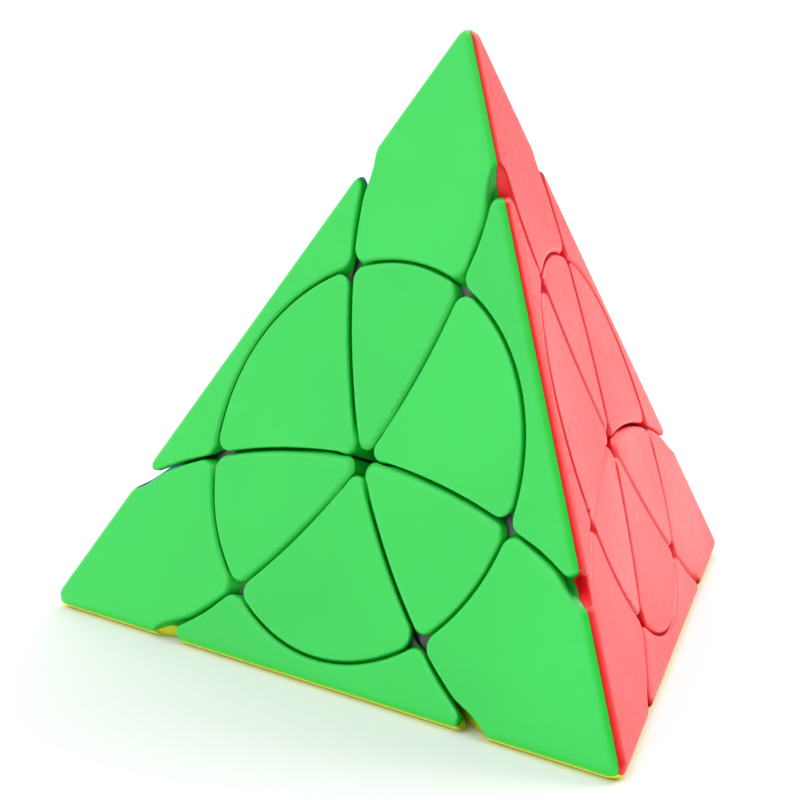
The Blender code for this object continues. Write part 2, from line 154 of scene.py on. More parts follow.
def grip(axis):
    def value(p):
        h = p @ axis
        r = np.sqrt(np.maximum((p * p).sum(-1) - h * h, 1e-20))
        dome = length(p - DOME_CENTRE * axis) - DOME_RADIUS
        return np.maximum(dome, h * ROOT8 / 3 - r / 3)

    return value


def disc(p):
    h = p @ NORMAL
    r = np.sqrt(np.maximum((p * p).sum(-1) - h * h, 1e-20))
    half = math.atan(DISC_TAN)
    return h * math.sin(half) - r * math.cos(half)


GRIP_A, GRIP_B, GRIP_C = grip(AX_A), grip(AX_B), grip(AX_C)


def within(cut):
    """Wall of a piece that lies inside a cut: negative inside the piece."""
    return lambda p: GAP / 2 - cut(p)


def beyond(cut):
    return lambda p: cut(p) + GAP / 2


def mitre(other):
    return unit(other - NORMAL)


TRI = [3 * FACE_DIST * (1 - EDGE_ROUND / FACE_DIST) * a for a in (AX_A, AX_B, AX_C)]


def skin(p):
    """Distance outside the rounded outer surface."""
    height = (p - TRI[0]) @ NORMAL
    q = p - height[..., None] * NORMAL
    outside = np.zeros(p.shape[:-1], bool)
    near, near_d = q.copy(), np.full(p.shape[:-1], 1e9)
    for i in range(3):
        a, b = TRI[i], TRI[(i + 1) % 3]
        side = np.cross(NORMAL, b - a)
        outside |= (q - a) @ side < 0
        t = np.clip((q - a) @ (b - a) / ((b - a) @ (b - a)), 0, 1)
        c = a + t[..., None] * (b - a)
        d = length(p - c)
        closer = d < near_d
        near = np.where(closer[..., None], c, near)
        near_d = np.where(closer, d, near_d)
    return np.where(outside & (height > 0), length(p - near), height) - EDGE_ROUND


def gradient(fun, p, step=2e-6):
    g = np.empty_like(p)
    for i in range(3):
        e = np.zeros(3)
        e[i] = step
        g[..., i] = fun(p + e) - fun(p - e)
    return g / np.maximum(length(g), 1e-30)[..., None]


def solve(fun, start, rounds=50):
    """Newton's method on rows of three equations, for many points at once."""
    p = np.array(start, float)
    step = 1e-7
    for _ in range(rounds):
        f = fun(p)
        if np.abs(f).max() < 2e-10:
            break
        jac = np.empty((len(p), 3, 3))
        for i in range(3):
            e = np.zeros(3)
            e[i] = step
            jac[:, :, i] = (fun(p + e) - fun(p - e)) / (2 * step)
        jac += 1e-7 * np.eye(3)
        d = np.linalg.solve(jac, -f[..., None])[..., 0]
        size = length(d)
        p = p + d * np.minimum(1.0, 0.0015 / np.maximum(size, 1e-12))[:, None]
    return p


def smooth(t):
    t = np.clip(t, 0, 1)
    return t * t * (3 - 2 * t)


def slerp(a, b, t):
    w = math.acos(max(-1.0, min(1.0, float(a @ b))))
    if w < 1e-6:
        return a
    return (math.sin((1 - t) * w) * a + math.sin(t * w) * b) / math.sin(w)


def flat(x, y):
    return FACE_DIST * (NORMAL + x * RIGHT + y * UP)


def on_circle(angle):
    return flat(DISC_TAN * math.sin(angle), DISC_TAN * math.cos(angle))


def edge_point(along, a, b):
    return 3 * FACE_DIST * ((1 - along) * a + along * b) * 0.97


# ------------------------------------------------------------------- shells
class Shell:
    """One moulded shell: rings of points from its outer skin to the ball seat.

    sides: wall functions in order. guesses: near each plan corner, corner i being
    where side i begins. rounds: plan radius of each corner, or None at an open end,
    where the shell meets the next colour's shell on a mitre plane.

    steep: for each side, the plan slope of its wall where it would show through the
    gap; the shell then stands straight down there and steps back at a ledge, which
    is `ledge` below the foot of the fillet. knee: extra inset at the open ends.
    """

    def __init__(
        self,
        sides,
        guesses,
        rounds,
        fractions,
        fillets,
        mitres,
        upper,
        steep,
        ledge,
        knee=None,
    ):
        self.sides, self.rounds, self.mitres = sides, rounds, mitres
        self.steep, self.ledge = steep, ledge
        self.grey = 1.0 if self.steep[1] > 0 else 0.0
        self.closed = not mitres
        self.count = len(sides)
        self.upper = upper
        self.corner_at = list(guesses)
        self.centres = {}
        kind, index, share, radius = [], [], [], []

        def arc(i, r):
            steps = 9
            for m in range(steps):
                kind.append(1), index.append(i), share.append(m / (steps - 1))
                radius.append(r)

        for i in range(self.count):
            if self.closed or i > 0:
                arc(i, fillets[i][0])
            else:
                kind.append(2), index.append(0), share.append(0.0)
                radius.append(fillets[0][0])
            start, middle, end = fillets[i]
            for s in fractions[i]:
                kind.append(0), index.append(i), share.append(s)
                radius.append(
                    middle
                    + (start - middle) * float(smooth((0.45 - s) / 0.45))
                    + (end - middle) * float(smooth((s - 0.55) / 0.45))
                )
        if not self.closed:
            kind.append(2), index.append(1), share.append(1.0)
            radius.append(fillets[-1][2])
        self.kind, self.index = np.array(kind), np.array(index)
        self.share, self.radius = np.array(share), np.array(radius)
        self.n = len(kind)
        self.slope = np.zeros(self.n)
        self.knee = np.zeros(self.n)
        self.blunt = np.zeros(self.n)
        self.near_corner = np.zeros(self.n, bool)
        for j in range(self.n):
            i = self.index[j]
            if self.kind[j] == 1:
                t = self.share[j]
                self.slope[j] = (1 - t) * steep[i - 1] + t * steep[i]
            elif self.kind[j] == 0:
                self.slope[j] = steep[i]
            else:
                self.slope[j] = steep[0 if i == 0 else -1]
            if self.closed:
                # The walls at the middle of the face stand upright by themselves.
                if i == 0:
                    part = self.share[j] if self.kind[j] == 0 else 0.0
                    self.slope[j] *= float(smooth(part / 0.45))
                elif i == 2 and self.kind[j] == 0:
                    self.slope[j] *= float(smooth((1 - self.share[j]) / 0.45))
            ends = min(self.share[j], 1 - self.share[j])
            self.near_corner[j] = self.kind[j] == 1 or (
                self.kind[j] == 0 and i == 1 and ends < 0.09
            )
            if knee is not None and self.kind[j] != 1:
                amount, near, far, total, blunt, reach = knee
                along = self.share[j] * total
                if self.kind[j] == 2:
                    along = 0.0
                elif i == self.count - 1:
                    along = total - along
                elif i > 0:
                    continue
                self.knee[j] = amount * (1 - float(smooth((along - near) / (far - near))))
                if along < reach:
                    self.blunt[j] = blunt * (1 - along / reach) ** 2.5
        self.make_rings()

    def side_values(self, p, which):
        values = np.stack([s(p) for s in self.sides])
        return values[which, np.arange(len(p))]

    def ring(self, u, e, level, shrink, shift):
        """Points set in by u along the surface, with the level function at e.

        shift moves a whole wall in, and with it the middle of each plan corner."""
        n = self.count
        w = (u + shift) * self.lean
        points = np.zeros((self.n, 3))
        normals = np.zeros((self.n, 3))
        ends = {}
        corners = range(n) if self.closed else range(1, n)
        for i in corners:
            rows = np.where((self.kind == 1) & (self.index == i))[0]
            mid = rows[len(rows) // 2]
            r = self.rounds[i] * shrink
            first, second = self.sides[i - 1], self.sides[i]
            lean1, lean2 = self.corner_lean.get(i, (1.0, 1.0))
            c = self.centres.get(i, self.corner_at[i])
            r1, r2 = r + shift[rows[0]], r + shift[rows[-1]]
            for _ in range(4):

                def at_centre(p, r1=r1, r2=r2, first=first, second=second, mid=mid):
                    return np.stack(
                        [
                            first(p) + r1 * lean1,
                            second(p) + r2 * lean2,
                            level(p) - e[mid],
                        ],
                        -1,
                    )

                c = solve(at_centre, c[None])[0]
                n1 = gradient(first, c[None])[0]
                n2 = gradient(second, c[None])[0]
                out = gradient(level, c[None])[0]
                t1, t2 = n1 - (n1 @ out) * out, n2 - (n2 @ out) * out
                lean1, lean2 = np.linalg.norm(t1), np.linalg.norm(t2)
            self.corner_lean[i] = (lean1, lean2)
            self.centres[i] = c
            t1, t2 = unit(t1), unit(t2)
            directions = np.array([slerp(t1, t2, t) for t in self.share[rows]])
            across = np.cross(out, directions)
            reach = r - u[rows]
            target = e[rows]

            def at_arc(p, c=c, d=directions, a=across, reach=reach, target=target):
                q = p - c
                return np.stack(
                    [(q * a).sum(-1), (q * d).sum(-1) - reach, level(p) - target], -1
                )

            points[rows] = solve(at_arc, c + reach[:, None] * directions)
            normals[rows] = np.array([slerp(n1, n2, t) for t in self.share[rows]])
            ends[i] = (points[rows[0]], points[rows[-1]])
        for k, m in enumerate(self.mitres):
            row = 0 if k == 0 else self.n - 1
            wall = self.sides[0] if k == 0 else self.sides[-1]

            def at_end(p, m=m, wall=wall, row=row):
                return np.stack(
                    [wall(p) + w[row], p @ m + SEAM_HALF, level(p) - e[row]], -1
                )

            start = self.centres.get(("end", k), self.corner_at[0 if k == 0 else n])
            q = solve(at_end, np.array(start)[None])[0]
            self.centres[("end", k)] = q
            points[row] = q
            normals[row] = gradient(wall, q[None])[0]
            ends[("end", k)] = (q, q)
        rows = np.where(self.kind == 0)[0]
        side = self.index[rows]
        a = np.zeros((len(rows), 3))
        b = np.zeros((len(rows), 3))
        for i in range(n):
            start = ends[i] if (self.closed or i > 0) else ends[("end", 0)]
            stop = (
                ends[(i + 1) % n]
                if (self.closed or i < n - 1)
                else ends[("end", 1)]
            )
            a[side == i] = start[1]
            b[side == i] = stop[0]
        ab = b - a
        ab_unit = ab / length(ab)[:, None]
        origin = a + self.share[rows][:, None] * ab
        target = e[rows]

        def at_side(p):
            return np.stack(
                [
                    self.side_values(p, side) + w[rows],
                    ((p - origin) * ab_unit).sum(-1),
                    level(p) - target,
                ],
                -1,
            )

        guess = self.side_guess if self.side_guess is not None else origin
        found = solve(at_side, guess)
        self.side_guess = found
        points[rows] = found
        normals[rows] = gradient(lambda p: self.side_values(p, side), found)
        return points, normals

    def shift(self, down):
        """How far the walls stand in from the cuts, so far below the skin."""
        tip = np.maximum(0.0, 1 - down / TIP_DEPTH)
        return self.slope * down + self.knee + self.blunt * tip

    def upright(self, wall, out):
        """Normals of the walls as they stand between the fillet and the ledge."""
        rise = (wall * out).sum(-1)
        flat_part = wall - rise[:, None] * out
        size = length(flat_part)
        turned = flat_part / size[:, None] + (rise / size - self.slope)[:, None] * out
        return turned / length(turned)[:, None]

    def make_rings(self):
        self.side_guess = None
        self.lean = np.ones(self.n)
        self.corner_lean = {}
        self.rings, self.normals, self.turn = [], [], []
        r = self.radius
        found = []
        # From the foot of the fillet up to the skin, so that each ring helps the next.
        for k in range(FILLET_STEPS):
            t = 0.5 * math.pi * k / (FILLET_STEPS - 1)
            down = r * (1 - math.sin(t))
            p, wall = self.ring(
                r * (1 - math.cos(t)), -down, skin, 1.0, self.shift(down)
            )
            out = gradient(skin, p)
            normal = math.cos(t) * self.upright(wall, out) + math.sin(t) * out
            normal /= length(normal)[:, None]
            if k == 0:
                foot, centres, side_guess = p, dict(self.centres), self.side_guess
                self.lean = np.sqrt(1 - (wall * out).sum(-1) ** 2)
                if not self.closed:
                    arcs = np.where(self.kind == 1)[0]
                    self.lean[: arcs[0]] = self.lean[arcs[0]]
                    self.lean[arcs[-1] + 1 :] = self.lean[arcs[-1]]
            found.append((p, normal, t))
        for p, normal, t in reversed(found):
            self.rings.append(p)
            self.normals.append(normal)
            self.turn.append(t)
        self.centres, self.side_guess = centres, side_guess
        # Straight down below the fillet, then out again at a ledge.
        self.inner = [0.0] * FILLET_STEPS
        if self.ledge:
            zero = np.zeros(self.n)
            for part in (0.35, 0.7, 1.0):
                down = r + self.ledge * part
                p, wall = self.ring(zero, -down, skin, 1.0, self.shift(down))
            self.rings.append(p)
            self.normals.append(self.upright(wall, gradient(skin, p)))
            self.turn.append(-1.0)
            self.inner.append(0.0)
            for part in (0.25, 0.5, 0.75, 1.0):
                down = r + self.ledge + 0.00012 * part
                p, wall = self.ring(
                    zero, -down, skin, 1.0, self.shift(down) - self.slope * down * part
                )
            self.rings.append(p)
            self.normals.append(wall)
            self.turn.append(-1.0)
            self.inner.append(1.0)
            foot = p
        # Down the walls to the ball seat.
        top = length(foot)
        ridge = np.minimum(FACE_DIST, top - 0.12 * (top - BALL_SEAT))
        zero = np.zeros(self.n)
        for k in range(1, self.upper + 2):
            if k <= self.upper:
                target = top + (ridge - top) * k / self.upper
                before = top + (ridge - top) * (k - 1) / self.upper
            else:
                target = np.full(self.n, BALL_SEAT)
                before = ridge
            shrinks = lambda d: float(
                np.clip((d - BALL_SEAT) / (FACE_DIST - BALL_SEAT), 0.06, 1.0)
            )
            for part in (1 / 3, 2 / 3, 1.0):
                here = before + (target - before) * part
                shrink = 1.0 if k <= self.upper else shrinks(float(here.mean()))
                if k == self.upper:
                    shrink = 1.0
                knee = self.knee if k <= self.upper else self.knee * (1 - part)
                p, wall = self.ring(zero, here, length, shrink, knee)
            self.rings.append(p)
            self.normals.append(wall)
            self.turn.append(-1.0)
            self.inner.append(1.0)


def even(count):
    return [i / count for i in range(1, count)]


def toward_notch(total, dense_at_start):
    """Fractions along a side that ends on a straight edge, closer together there."""
    offsets = [0.00012, 0.00026, 0.00042, 0.0006, 0.0008, 0.00105, 0.0014, 0.0018]
    offsets += [0.0023, 0.003, 0.0038]
    out = [o / total for o in offsets]
    s = 0.0050
    while s < total - 0.0004:
        out.append(s / total)
        s += 0.0014
    if dense_at_start:
        return out
    return sorted(1 - o for o in out)


CROSS = math.radians(21.0)
THIRD = math.radians(120)
CUT_END = 0.19

narrow = Shell(
    [beyond(GRIP_B), within(disc), beyond(GRIP_C)],
    [flat(0.0, 0.08), on_circle(-CROSS), on_circle(CROSS)],
    [CENTRE_ROUND, RING_ROUND, RING_ROUND],
    [even(16), even(12), even(16)],
    [
        (FILLET_PETAL,) * 3,
        (FILLET_PETAL, FILLET_DISC, FILLET_PETAL),
        (FILLET_PETAL,) * 3,
    ],
    [],
    2,
    [STEEP_PETAL, FULL_DISC, STEEP_PETAL],
    0.0007,
)
wide = Shell(
    [within(GRIP_B), within(disc), within(GRIP_C)],
    [flat(0.0, -0.08), on_circle(THIRD + CROSS), on_circle(THIRD * 2 - CROSS)],
    [CENTRE_ROUND, RING_ROUND, RING_ROUND],
    [even(16), even(24), even(16)],
    [
        (FILLET_PETAL,) * 3,
        (FILLET_PETAL, FILLET_DISC, FILLET_PETAL),
        (FILLET_PETAL,) * 3,
    ],
    [],
    2,
    [FULL_PETAL, FULL_DISC, FULL_PETAL],
    0.0007,
)
corner = Shell(
    [beyond(GRIP_C), beyond(disc), beyond(GRIP_B)],
    [
        edge_point(CUT_END, AX_A, AX_C),
        on_circle(CROSS),
        on_circle(-CROSS),
        edge_point(CUT_END, AX_A, AX_B),
    ],
    [None, RING_ROUND, RING_ROUND],
    [toward_notch(0.019, True), even(14), toward_notch(0.019, False)],
    [
        (FILLET_KNEE, FILLET_CUT, FILLET_DISC),
        (FILLET_DISC,) * 3,
        (FILLET_DISC, FILLET_CUT, FILLET_KNEE),
    ],
    [mitre(NORMAL_R), mitre(NORMAL_L)],
    3,
    [STEEP_GRIP, STEEP_DISC, STEEP_GRIP],
    0.0013,
    (KNEE_INSET, 0.0025, 0.0110, 0.019, 0.0, 0.001),
)
edge = Shell(
    [within(GRIP_B), beyond(disc), within(GRIP_C)],
    [
        edge_point(1 - CUT_END, AX_B, AX_C),
        on_circle(THIRD + CROSS),
        on_circle(THIRD * 2 - CROSS),
        edge_point(CUT_END, AX_B, AX_C),
    ],
    [None, RING_ROUND, RING_ROUND],
    [toward_notch(0.011, True), even(24), toward_notch(0.011, False)],
    [
        (FILLET_NOTCH, FILLET_LONG, FILLET_DISC),
        (FILLET_DISC,) * 3,
        (FILLET_DISC, FILLET_LONG, FILLET_NOTCH),
    ],
    [mitre(NORMAL_BASE), mitre(NORMAL_BASE)],
    3,
    [FULL_GRIP, STEEP_DISC, FULL_GRIP],
    0.0009,
    (-TIP_OUT, 0.0030, 0.0085, 0.011, TIP_ROUND, TIP_REACH),
)


# ------------------------------------------------------------ shells to meshes
class Build:
    """Vertices, faces and a normal for each corner of each face."""

    def __init__(self):
        self.points, self.faces, self.loops = [], [], []
        self.rim, self.inner, self.deep = [], [], []

    def add(self, p, rim=0.0, inner=0.0, deep=None):
        self.points.append(np.array(p, float))
        self.rim.append(rim)
        self.inner.append(inner)
        self.deep.append((1.0 if inner > 0 else 0.0) if deep is None else deep)
        return len(self.points) - 1

    def patch(self, faces, normal_of):
        """Adds faces wound so that, taken together, they look along their normals."""
        total = 0.0
        for f in faces:
            a, b, c = (self.points[v] for v in (f[0], f[1], f[2]))
            n = np.cross(b - a, c - a)
            if len(f) == 4:
                n = n + np.cross(c - a, self.points[f[3]] - a)
            total += n @ normal_of(f[0])
        for f in faces:
            f = f if total >= 0 else f[::-1]
            self.faces.append(list(f))
            self.loops.extend(normal_of(v) for v in f)


def fill(points, loop, extra, plane):
    """Triangles inside a loop of point numbers, through extra ones."""
    ids = list(loop) + list(extra)
    flat_points = [Vector(plane(points[v])) for v in ids]
    n = len(loop)
    _, _, faces, origin, _, _ = delaunay_2d_cdt(
        flat_points, [(i, (i + 1) % n) for i in range(n)], [list(range(n))], 1, 1e-9
    )
    return [[ids[origin[v][0]] for v in f] for f in faces]


def inside_loop(loop2, candidates, margin):
    """Those of the candidate points that lie inside the loop, clear of it."""
    a, b = loop2, np.roll(loop2, -1, axis=0)
    ab = b - a
    kept = []
    for x, y in candidates:
        crosses = ((a[:, 1] > y) != (b[:, 1] > y)) & (
            x < ab[:, 0] * (y - a[:, 1]) / np.where(ab[:, 1] == 0, 1e-18, ab[:, 1]) + a[:, 0]
        )
        if crosses.sum() % 2 == 0:
            continue
        t = np.clip(
            ((x - a[:, 0]) * ab[:, 0] + (y - a[:, 1]) * ab[:, 1]) / (ab * ab).sum(1), 0, 1
        )
        if np.hypot(a[:, 0] + t * ab[:, 0] - x, a[:, 1] + t * ab[:, 1] - y).min() > margin:
            kept.append((x, y))
    return kept


def lift(candidates):
    """Points of the outer skin above points of the face plane."""
    xy = np.array(candidates, float).reshape(-1, 2)
    base = (TRI[0] @ NORMAL) * NORMAL + xy[:, :1] * RIGHT + xy[:, 1:] * UP
    low, high = np.zeros(len(xy)), np.full(len(xy), 2 * EDGE_ROUND)
    for _ in range(40):
        mid = (low + high) / 2
        out = skin(base + mid[:, None] * NORMAL) > 0
        high = np.where(out, mid, high)
        low = np.where(out, low, mid)
    return base + low[:, None] * NORMAL


ROUND_REACH = EDGE_ROUND / math.tan(math.radians(35.264))
STRAIGHT = math.sqrt(2) * FACE_DIST


def round_rows(turn_by, spacing, reach):
    """Points in rows along the rounding beside one straight edge."""
    rows = []
    count = int(reach / spacing)
    for k, turn in enumerate((0.0, 8.0, 16.0, 24.0, 32.0, 40.0, 48.0)):
        off = STRAIGHT - (ROUND_REACH - EDGE_ROUND * math.sin(math.radians(turn)))
        for i in range(-count, count + 1):
            x, y = (i + 0.5 * (k % 2)) * spacing, -off
            c, s = math.cos(turn_by), math.sin(turn_by)
            rows.append((c * x - s * y, s * x + c * y))
    return rows


def grid(spacing, reach):
    count = int(reach / spacing)
    return [
        ((i + 0.5 * (j % 2)) * spacing, j * spacing * 0.87)
        for j in range(-count, count + 1)
        for i in range(-count, count + 1)
    ]


def face_plane(p):
    return (p @ RIGHT, p @ UP)


def shell_mesh(shell, rows, tip=None, bored=False):
    """The shell's rings, its outer and inner caps, and its mitre walls."""
    out = Build()
    n = shell.n
    grid_ids, vertex_normal = [], {}
    for k, (ring, normals) in enumerate(zip(shell.rings, shell.normals)):
        t = shell.turn[k]
        ids = []
        for j in range(n):
            # rim peaks near the top of the fillet; in the material it masks the paler rims,
            # partly wear and partly painted highlight.
            rim = 1.8 * math.sin(2 * t) * math.sin(t) ** 3 if t > 0 else 0.0
            # deep: 0 at the skin, 1 at the foot of the fillet and below; in the material it
            # masks the painted groove shade.
            deep = 1 - math.sin(t) if t > 0 else 1.0
            # The grey inner moulding shows only in the openings at the plan corners.
            inner = shell.inner[k] * shell.grey if shell.near_corner[j] else 0.0
            v = out.add(ring[j], rim, inner, deep)
            vertex_normal[v] = normals[j]
            ids.append(v)
        grid_ids.append(ids)
    # Skin, fillet and wall, as one quad strip for each pair of rings.
    quads = []
    last = n if shell.closed else n - 1
    for upper_ids, lower_ids in zip(grid_ids, grid_ids[1:]):
        for j in range(last):
            i = (j + 1) % n
            quads.append([upper_ids[j], lower_ids[j], lower_ids[i], upper_ids[i]])
    out.patch(quads, lambda v: vertex_normal[v])

    top, bottom = grid_ids[0], grid_ids[-1]
    top_loop, bottom_loop = list(top), list(bottom)
    mitre_walls = []
    seam_normal = {}

    def ridge(m, p, q, shares):
        """Points where a mitre plane meets the skin, between two points."""
        span = q - p
        reach = length(span)
        origin = p + np.array(shares)[:, None] * span

        def at(x):
            return np.stack(
                [x @ m + SEAM_HALF, ((x - origin) @ span) / reach, skin(x)], -1
            )

        return solve(at, origin)

    def seat(m, p, q, shares):
        origin = p + np.array(shares)[:, None] * (q - p)
        span = q - p

        def at(x):
            return np.stack(
                [
                    x @ m + SEAM_HALF,
                    ((x - origin) @ span) / length(span),
                    length(x) - BALL_SEAT,
                ],
                -1,
            )

        return solve(at, origin)

    if not shell.closed and tip is None:
        m = shell.mitres[0]
        first, final = out.points[top[0]], out.points[top[-1]]
        count = 30
        shares = [0.5 - 0.5 * math.cos(math.pi * i / count) for i in range(1, count)]
        ridge_ids = [out.add(p, 0.0, 0.0) for p in ridge(m, final, first, shares)]
        for v in ridge_ids:
            seam_normal[v] = m
        top_loop += ridge_ids
        low = seat(m, out.points[bottom[-1]], out.points[bottom[0]], even(8))
        low_ids = [out.add(p, 0.0, 1.0) for p in low]
        bottom_loop += low_ids
        mitre_walls.append(
            (
                m,
                [ids[-1] for ids in grid_ids]
                + low_ids
                + [ids[0] for ids in reversed(grid_ids)]
                + ridge_ids[::-1],
            )
        )
    if tip is not None:
        m_start, m_end = shell.mitres
        # The tip, on both mitre planes.
        peak = solve(
            lambda x: np.stack(
                [x @ m_start + SEAM_HALF, x @ m_end + SEAM_HALF, skin(x)], -1
            ),
            (3 * FACE_DIST - 2 * EDGE_ROUND) * AX_A[None],
        )[0]
        peak_id = out.add(peak)
        shares = [1 - (1 - i / 16) ** 1.35 for i in range(1, 16)] + [0.985, 0.993]
        from_end = [
            out.add(p) for p in ridge(m_end, out.points[top[-1]], peak, shares)
        ]
        from_start = [
            out.add(p) for p in ridge(m_start, out.points[top[0]], peak, shares)
        ]
        top_loop += from_end + [peak_id] + from_start[::-1]
        # The stem and the bore, turned about the corner's axis between the mitres.
        toward = unit(NORMAL - (NORMAL @ AX_A) * AX_A)
        across = np.cross(AX_A, toward)
        profile = [
            (STEM_RADIUS, math.sqrt(BALL_SEAT**2 - STEM_RADIUS**2)),
            (STEM_RADIUS, STEM_END),
            (PASS_RADIUS, STEM_END),
            (PASS_RADIUS, BORE_FLOOR),
            (BORE_RADIUS, BORE_FLOOR),
            (BORE_RADIUS, BORE_TOP),
        ]
        steps = 16
        columns = []
        # Which side of the master shell the start mitre lies on.
        sign = 1.0 if across @ m_start > 0 else -1.0
        for radius, height in profile:
            stop = math.radians(60) - math.asin(SEAM_HALF / radius)
            row = []
            for i in range(steps + 1):
                a = sign * stop * (1 - 2 * i / steps)
                row.append(
                    out.add(
                        height * AX_A
                        + radius * (math.cos(a) * toward + math.sin(a) * across),
                        0.0,
                        1.0,
                    )
                )
            columns.append(row)
        crown = out.add(
            (BORE_TOP + 0.0015) * AX_A + toward * SEAM_HALF / math.sin(math.radians(60)),
            0.0,
            1.0,
        )
        for k in range(len(profile) - 1):
            upright = profile[k][0] == profile[k + 1][0]
            stem_face = k == 0
            down = k == 1
            strip = [
                [
                    columns[k][i],
                    columns[k][i + 1],
                    columns[k + 1][i + 1],
                    columns[k + 1][i],
                ]
                for i in range(steps)
            ]

            def normal(v, upright=upright, stem_face=stem_face, down=down):
                p = out.points[v]
                radial = unit(p - (p @ AX_A) * AX_A)
                if upright:
                    return radial if stem_face else -radial
                return -AX_A if down else AX_A

            out.patch(strip, normal)
        out.patch(
            [[columns[-1][i], columns[-1][i + 1], crown] for i in range(steps)],
            lambda v: -AX_A,
        )
        low_end = [
            out.add(p, 0.0, 1.0)
            for p in seat(
                m_end, out.points[bottom[-1]], out.points[columns[0][-1]], even(4)
            )
        ]
        low_start = [
            out.add(p, 0.0, 1.0)
            for p in seat(
                m_start, out.points[bottom[0]], out.points[columns[0][0]], even(4)
            )
        ]
        bottom_loop += low_end + columns[0][::-1] + low_start[::-1]
        mitre_walls.append(
            (
                m_end,
                [ids[-1] for ids in grid_ids]
                + low_end
                + [row[-1] for row in columns]
                + [crown, peak_id]
                + from_end[::-1],
            )
        )
        mitre_walls.append(
            (
                m_start,
                [ids[0] for ids in grid_ids]
                + low_start
                + [row[0] for row in columns]
                + [crown, peak_id]
                + from_start[::-1],
            )
        )

    # Outer cap.
    loop2 = np.array([face_plane(out.points[v]) for v in top_loop])
    kept = inside_loop(loop2, rows, 0.00022)
    coarse = [
        q
        for q in inside_loop(loop2, grid(0.0034, 0.075), 0.0011)
        if all((q[0] - x) ** 2 + (q[1] - y) ** 2 > 0.0007**2 for x, y in kept)
    ]
    extra = [out.add(p) for p in lift(kept + coarse)] if kept or coarse else []
    cap = fill(out.points, top_loop, extra, face_plane)
    used = sorted({v for f in cap for v in f})
    cap_normals = dict(
        zip(used, gradient(skin, np.array([out.points[v] for v in used])))
    )
    for f in cap:
        out.patch([f], lambda v: cap_normals[v])

    # Inner cap, on the ball seat.
    middle = unit(sum(unit(out.points[v]) for v in bottom))
    side = unit(np.cross(middle, RIGHT if abs(middle @ RIGHT) < 0.9 else UP))
    other = np.cross(middle, side)

    def ball_plane(p):
        d = unit(p)
        s = math.sqrt(2 / (1 + d @ middle))
        return (d @ side * s, d @ other * s)

    loop2 = np.array([ball_plane(out.points[v]) for v in bottom_loop])
    kept = inside_loop(loop2, grid(0.16, 1.6), 0.05)
    extra = []
    for x, y in kept:
        rr = x * x + y * y
        s = math.sqrt(1 - rr / 4)
        extra.append(
            out.add(
                BALL_SEAT * (x * s * side + y * s * other + (1 - rr / 2) * middle),
                0.0,
                1.0,
            )
        )
    for f in fill(out.points, bottom_loop, extra, ball_plane):
        out.patch([f], lambda v: -unit(out.points[v]))

    # Mitre walls.
    for m, loop in mitre_walls:
        a1 = unit(np.cross(m, AX_A if abs(m @ AX_A) < 0.9 else RIGHT))
        a2 = np.cross(m, a1)
        faces = fill(out.points, loop, [], lambda p: (p @ a1, p @ a2))
        for f in faces:
            out.patch([f], lambda v, m=m: m)
    return out


CORNER_ROWS = round_rows(THIRD, 0.0016, 0.045) + round_rows(-THIRD, 0.0016, 0.045)
EDGE_ROWS = round_rows(0.0, 0.0020, 0.045)

BUILDS = {
    "petal_narrow": shell_mesh(narrow, []),
    "petal_wide": shell_mesh(wide, []),
    "corner": shell_mesh(corner, CORNER_ROWS, tip=True),
    "edge": shell_mesh(edge, EDGE_ROWS),
}


def turn_to(colour, corner_name):
    ring, _ = FACES[colour]
    at = ring.index(corner_name)
    targets = [CORNERS[ring[(at + i) % 3]] for i in range(3)]
    return np.array(targets).T @ np.linalg.inv(np.array([AX_A, AX_B, AX_C]).T)


def place(build, node, matrix, material, seed):
    """A turned copy of a shell, riding on its CAD node's body."""
    mesh = bpy.data.meshes.new("shown_" + node)
    points = np.array(build.points) @ matrix.T
    mesh.from_pydata([tuple(p) for p in points], [], build.faces)
    mesh.polygons.foreach_set("use_smooth", [True] * len(mesh.polygons))
    normals = np.array(build.loops) @ matrix.T
    mesh.normals_split_custom_set([tuple(x) for x in normals])
    for name, values in (("rim", build.rim), ("inner", build.inner), ("deep", build.deep)):
        layer = mesh.attributes.new(name, "FLOAT", "POINT")
        layer.data.foreach_set("value", np.array(values, np.float32))
    # How far the skin has turned over toward a straight edge: 0 on the face, 1 at
    # the middle of the rounding.
    # This mask carries the painted light of the edge roundings in the material.
    drop = (FACE_DIST - np.array(build.points) @ NORMAL) / EDGE_ROUND
    turned = np.arccos(np.clip(1 - drop, math.cos(HALF_TURN), 1)) / HALF_TURN
    if node.startswith("petal"):
        turned[:] = 0.0
    bevel = mesh.attributes.new("bevel", "FLOAT", "POINT")
    bevel.data.foreach_set("value", turned.astype(np.float32))
    tone = mesh.attributes.new("tone", "FLOAT", "POINT")
    tone.data.foreach_set("value", np.full(len(points), seed, np.float32))
    mesh.materials.append(material)
    obj = bpy.data.objects.new("shown_" + node, mesh)
    bpy.context.scene.collection.objects.link(obj)
    body = frame["nodes"][node]["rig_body"]
    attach(obj, body)
    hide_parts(node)
    return obj


# ---------------------------------------------------------------- materials
def new_material(name):
    mat = bpy.data.materials.new(name)
    mat.use_nodes = True
    tree = mat.node_tree
    tree.nodes.clear()
    out = tree.nodes.new("ShaderNodeOutputMaterial")
    bsdf = tree.nodes.new("ShaderNodeBsdfPrincipled")
    tree.links.new(bsdf.outputs["BSDF"], out.inputs["Surface"])
    return mat, tree, bsdf


def noise(tree, vector, scale, detail=3.0, rough=0.5):
    node = tree.nodes.new("ShaderNodeTexNoise")
    node.inputs["Scale"].default_value = scale
    node.inputs["Detail"].default_value = detail
    node.inputs["Roughness"].default_value = rough
    tree.links.new(vector, node.inputs["Vector"])
    return node.outputs["Fac"]


